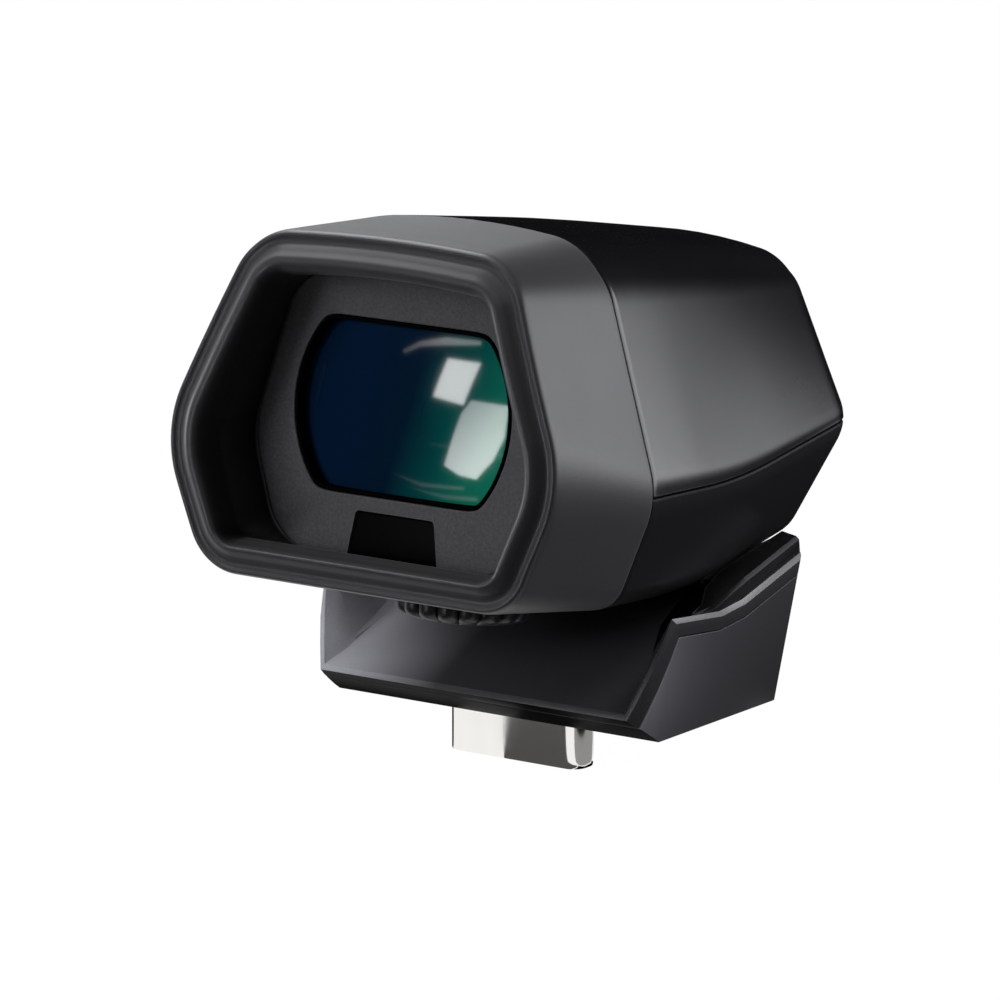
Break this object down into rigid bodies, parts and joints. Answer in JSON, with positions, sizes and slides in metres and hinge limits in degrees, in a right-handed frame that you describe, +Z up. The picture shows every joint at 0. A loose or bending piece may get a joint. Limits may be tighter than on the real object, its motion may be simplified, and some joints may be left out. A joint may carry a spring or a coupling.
{
  "type": "electronic viewfinder",
  "caption": "Plug-on electronic eye-level viewfinder: hexagonal head with rubber eyecup, tilting on a flared cradle with a connector plug and captive screw.",
  "frame": {"origin": "on the cradle's flat underside, the face that rests on the camera, on the middle line between the plug and the captive screw", "axes": "+X to the user's right, +Y away from the eye along the view, +Z up"},
  "size_m": [0.064, 0.0815, 0.0768],
  "materials": {
    "matte_rubber": "fine matt rubber",
    "satin_housing": "satin black moulding",
    "dark_housing": "smooth black moulding",
    "eyepiece_plate": "fine-grained charcoal",
    "black_plastic": "matt black",
    "smoked_window": "polished smoked acrylic",
    "coated_glass": "blue-green coated glass",
    "inner_glass": "clear coated glass",
    "black_alloy": "black anodised",
    "bright_steel": "bright machined steel",
    "plug_nickel": "bright nickel plate",
    "gilt_contacts": "gilt",
    "brass": "machined brass",
    "circuit_board": "green solder mask",
    "display_glass": "dark display glass",
    "amber_flex": "amber film",
    "grey_nylon": "grey nylon"
  },
  "bodies": {
    "base": {"tray": "dark_housing", "cradle": "satin_housing", "plug_shell": "plug_nickel", "plug_insulator": "black_plastic", "plug_contacts": "gilt_contacts", "plug_board": "circuit_board", "tilt_shaft": "bright_steel", "friction_washer_left": "grey_nylon", "friction_washer_right": "grey_nylon", "tray_screw_1": "bright_steel", "tray_screw_2": "bright_steel", "tray_screw_3": "bright_steel", "tray_screw_4": "bright_steel"},
    "clip": {"screw_clip": "bright_steel"},
    "screw": {"mounting_screw": "bright_steel"},
    "head": {"eyecup": "matte_rubber", "eyepiece_plate": "eyepiece_plate", "sensor_window": "smoked_window", "sensor_board": "circuit_board", "front_lens": "coated_glass", "lens_holder": "black_plastic", "front_frame": "black_plastic", "upper_housing": "satin_housing", "lower_housing": "dark_housing", "optics_chassis": "black_alloy", "guide_rod_left": "bright_steel", "guide_rod_right": "bright_steel", "display_holder": "black_plastic", "display_panel": "display_glass", "driver_board": "circuit_board", "display_flex": "amber_flex", "hinge_arm": "black_alloy", "housing_screw_1": "bright_steel", "housing_screw_2": "bright_steel", "housing_screw_3": "bright_steel", "housing_screw_4": "bright_steel", "arm_screw_1": "bright_steel", "arm_screw_2": "bright_steel"},
    "carriage": {"lens_barrel": "black_plastic", "lens_2": "inner_glass", "lens_3": "inner_glass", "lens_4": "inner_glass", "lens_spacer_1": "black_alloy", "lens_spacer_2": "black_alloy", "retaining_ring": "black_alloy"},
    "dial": {"dioptre_dial": "black_plastic", "dial_pinion": "brass", "dial_screw": "bright_steel"}
  },
  "joints": [
    {"name": "tilt", "type": "hinge", "parent": "base", "child": "head", "pos_m": [0, 0.0145, 0.0158], "axis": [-1, 0, 0], "range_deg": [0, 70]},
    {"name": "dioptre_turn", "type": "hinge", "parent": "head", "child": "dial", "pos_m": [0, -0.01999, 0.01993], "axis": [0, 0.1219, 0.9925], "range_deg": [-60, 60]},
    {"name": "lens_slide", "type": "slide", "parent": "head", "child": "carriage", "axis": [0, 0.9925, -0.1219], "range_m": [-0.00314, 0.00314]},
    {"name": "screw_lift", "type": "slide", "parent": "base", "child": "clip", "axis": [0, 0, 1], "range_m": [0, 0.0034]},
    {"name": "screw_turn", "type": "hinge", "parent": "clip", "child": "screw", "pos_m": [0, 0.0059, 0], "axis": [0, 0, 1], "range_deg": [0, 1750]}
  ],
  "couplings": [
    {"joint": "dioptre_turn", "follows": "lens_slide", "rad_per_m": 333.33},
    {"joint": "screw_turn", "follows": "screw_lift", "rad_per_m": 8976.7}
  ]
}
